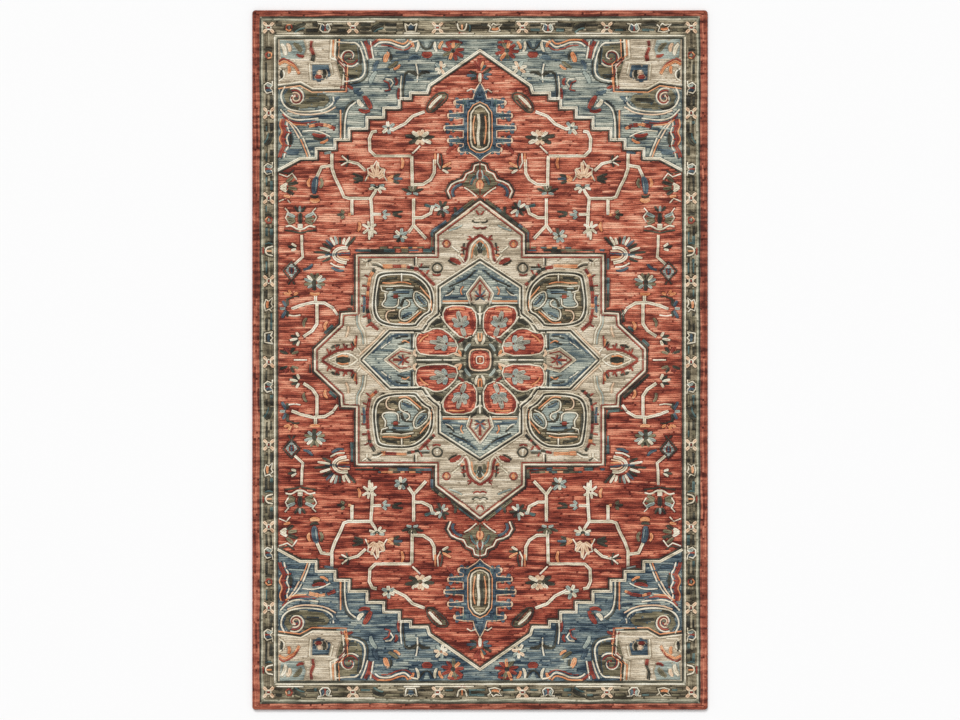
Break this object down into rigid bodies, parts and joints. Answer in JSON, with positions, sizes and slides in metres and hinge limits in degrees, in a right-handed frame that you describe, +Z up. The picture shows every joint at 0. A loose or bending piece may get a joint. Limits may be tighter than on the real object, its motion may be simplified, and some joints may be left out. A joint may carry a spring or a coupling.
{
  "type": "area rug",
  "caption": "Rectangular hand-hooked wool area rug with a stepped medallion field, blue corner grounds, striped border and overcast edge.",
  "frame": {"origin": "centre of the rug on the floor, at the underside", "axes": "+X across the rug, +Y along its length towards the head end, +Z up from the floor"},
  "size_m": [1.524, 2.34, 0.011],
  "materials": {
    "rust_wool": "hand-hooked loop pile, rust with lighter and darker streaks",
    "ivory_wool": "hand-hooked loop pile, ivory outline and vine yarn",
    "beige_wool": "hand-hooked loop pile, greige medallion ground",
    "blue_wool": "hand-hooked loop pile, slate and navy abrash",
    "olive_wool": "hand-hooked loop pile, charcoal olive",
    "sage_wool": "hand-hooked loop pile, grey sage",
    "whip_yarn": "overcast wool yarn edge, dark rust",
    "cotton_cloth": "plain woven cotton foundation and canvas",
    "binding_cotton": "herringbone cotton binding tape",
    "latex": "matt latex coat"
  },
  "bodies": {
    "root": {"backing_canvas": "cotton_cloth", "binding_tape_foot": "binding_cotton", "binding_tape_head": "binding_cotton", "binding_tape_left": "binding_cotton", "binding_tape_right": "binding_cotton", "border_pile_foot": "olive_wool", "border_pile_head": "olive_wool", "border_pile_left": "olive_wool", "border_pile_right": "olive_wool", "cartouche_foot_left": "olive_wool", "cartouche_foot_right": "olive_wool", "cartouche_head_left": "olive_wool", "cartouche_head_right": "olive_wool", "corner_ground_foot_left": "blue_wool", "corner_ground_foot_right": "blue_wool", "corner_ground_head_left": "blue_wool", "corner_ground_head_right": "blue_wool", "edge_band_pile_foot": "rust_wool", "edge_band_pile_head": "rust_wool", "edge_band_pile_left": "rust_wool", "edge_band_pile_right": "rust_wool", "field_pile": "rust_wool", "foundation_cloth": "cotton_cloth", "inner_guard_pile_foot": "sage_wool", "inner_guard_pile_head": "sage_wool", "inner_guard_pile_left": "sage_wool", "inner_guard_pile_right": "sage_wool", "latex_coat": "latex", "medallion_ground": "beige_wool", "outer_guard_pile_foot": "sage_wool", "outer_guard_pile_head": "sage_wool", "outer_guard_pile_left": "sage_wool", "outer_guard_pile_right": "sage_wool", "pendant_foot": "blue_wool", "pendant_head": "blue_wool", "pendant_heart_foot": "olive_wool", "pendant_heart_head": "olive_wool", "quarter_medallion_foot_left": "beige_wool", "quarter_medallion_foot_right": "beige_wool", "quarter_medallion_head_left": "beige_wool", "quarter_medallion_head_right": "beige_wool", "rosette_ground": "olive_wool", "rosette_heart": "ivory_wool", "rosette_petals": "rust_wool", "star_arm_foot": "blue_wool", "star_arm_head": "blue_wool", "star_arm_left": "blue_wool", "star_arm_right": "blue_wool", "star_spade_foot": "beige_wool", "star_spade_head": "beige_wool", "star_spade_left": "beige_wool", "star_spade_right": "beige_wool", "whipped_edge_foot": "whip_yarn", "whipped_edge_head": "whip_yarn", "whipped_edge_left": "whip_yarn", "whipped_edge_right": "whip_yarn"}
  },
  "joints": []
}
